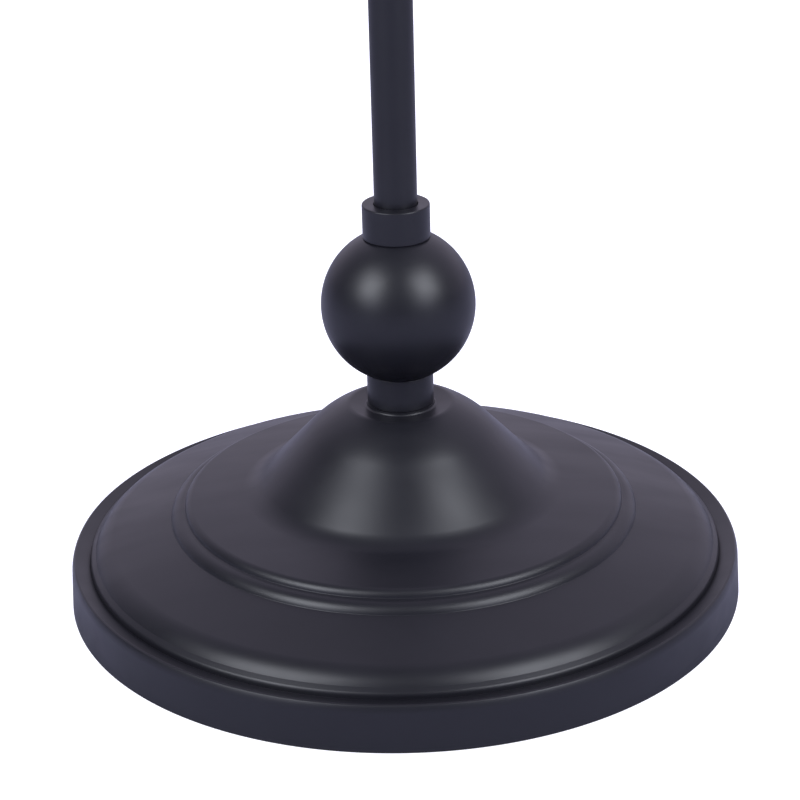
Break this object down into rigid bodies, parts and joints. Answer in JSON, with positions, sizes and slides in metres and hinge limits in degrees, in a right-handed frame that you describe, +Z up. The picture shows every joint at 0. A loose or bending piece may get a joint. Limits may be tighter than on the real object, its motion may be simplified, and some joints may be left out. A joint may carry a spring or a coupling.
{
  "type": "pharmacy floor lamp",
  "caption": "Floor lamp with a stepped round base, ball stem, sliding pole and a tilting arm that carries a half-round trough shade over a tubular bulb.",
  "frame": {"origin": "centre of the round base on the floor", "axes": "+Z up along the pole; the arm points along +X at rest; the knobs face -Y and the cord gland faces +Y"},
  "size_m": [0.673, 0.2616, 1.3316],
  "materials": {
    "black_paint": "satin powder coat",
    "cast_iron": "as cast, oiled",
    "felt": "pressed felt",
    "rubber": "matte",
    "zinc_steel": "zinc plated",
    "brass": "turned",
    "nylon": "natural nylon",
    "fibre": "vulcanised fibre",
    "phenolic": "moulded",
    "porcelain": "unglazed",
    "bulb_metal": "rolled thread",
    "frosted_glass": "inside frosted"
  },
  "bodies": {
    "stand": {"base_shell": "black_paint", "base_weight": "cast_iron", "base_pad": "felt", "base_spacer": "zinc_steel", "centre_rod": "zinc_steel", "rod_washer": "zinc_steel", "rod_lock_washer": "zinc_steel", "rod_nut": "zinc_steel", "cord_gland": "rubber", "neck_spacer": "black_paint", "ball": "black_paint", "pole_collar": "black_paint", "pole_foot_plug": "brass", "lower_pole": "black_paint", "pole_coupler": "zinc_steel", "middle_pole": "black_paint", "clamp_collar": "black_paint", "collar_bush": "nylon"},
    "clamp_tip": {"clamp_pad": "nylon"},
    "clamp_handle": {"clamp_screw": "brass", "clamp_knob": "black_paint"},
    "mast": {"upper_tube": "black_paint", "tube_guide": "nylon", "swivel_base": "black_paint", "swivel_axle": "zinc_steel", "swivel_washer": "fibre"},
    "head": {"swivel_head": "black_paint", "swivel_set_screw": "zinc_steel", "pivot_bolt": "zinc_steel"},
    "tilt_plate": {"tilt_washer": "zinc_steel"},
    "tilt_handle": {"tilt_knob": "black_paint"},
    "arm": {"arm_knuckle": "black_paint", "arm_tube": "black_paint", "arm_grub_screws": "zinc_steel", "tilt_friction_washers": "fibre", "arm_end_collar": "black_paint", "arm_end_ball": "black_paint"},
    "lamp": {"shade_nipple": "brass", "nipple_nut": "brass", "nipple_washer": "zinc_steel", "roll_washer": "fibre", "shade": "black_paint", "shade_locknut": "brass", "socket_shell": "phenolic", "socket_core": "porcelain", "screw_shell": "brass", "centre_contact": "brass", "bulb_cap": "bulb_metal", "bulb_glass": "frosted_glass", "bulb_contact": "brass", "switch_body": "phenolic", "switch_bushing": "brass", "switch_nut": "brass"},
    "switch": {"switch_stem": "brass", "switch_knob": "black_paint"}
  },
  "joints": [
    {"name": "height", "type": "slide", "parent": "stand", "child": "mast", "axis": [0, 0, 1], "range_m": [-0.19, 0.15]},
    {"name": "clamp_feed", "type": "slide", "parent": "stand", "child": "clamp_tip", "axis": [0, -1, 0], "range_m": [0, 0.0015]},
    {"name": "clamp_turn", "type": "hinge", "parent": "clamp_tip", "child": "clamp_handle", "pos_m": [0, -0.0175, 1.004], "axis": [0, -1, 0], "range_deg": [0, 540]},
    {"name": "swivel", "type": "hinge", "parent": "mast", "child": "head", "pos_m": [0, 0, 1.236], "axis": [0, 0, 1], "range_deg": [-150, 150]},
    {"name": "tilt", "type": "hinge", "parent": "head", "child": "arm", "pos_m": [0, 0, 1.268], "axis": [0, -1, 0], "range_deg": [-45, 60]},
    {"name": "tilt_feed", "type": "slide", "parent": "head", "child": "tilt_plate", "axis": [0, -1, 0], "range_m": [0, 0.00075]},
    {"name": "tilt_turn", "type": "hinge", "parent": "tilt_plate", "child": "tilt_handle", "pos_m": [0, -0.016, 1.268], "axis": [0, -1, 0], "range_deg": [0, 270]},
    {"name": "shade_roll", "type": "hinge", "parent": "arm", "child": "lamp", "pos_m": [0.3, 0, 1.268], "axis": [1, 0, 0], "range_deg": [-120, 120]},
    {"name": "switch_turn", "type": "hinge", "parent": "lamp", "child": "switch", "pos_m": [0.3265, 0, 1.32], "axis": [0, 0, 1], "continuous": true}
  ],
  "couplings": [
    {"joint": "clamp_turn", "follows": "clamp_feed", "rad_per_m": 6283.2},
    {"joint": "tilt_turn", "follows": "tilt_feed", "rad_per_m": 6283.2}
  ]
}
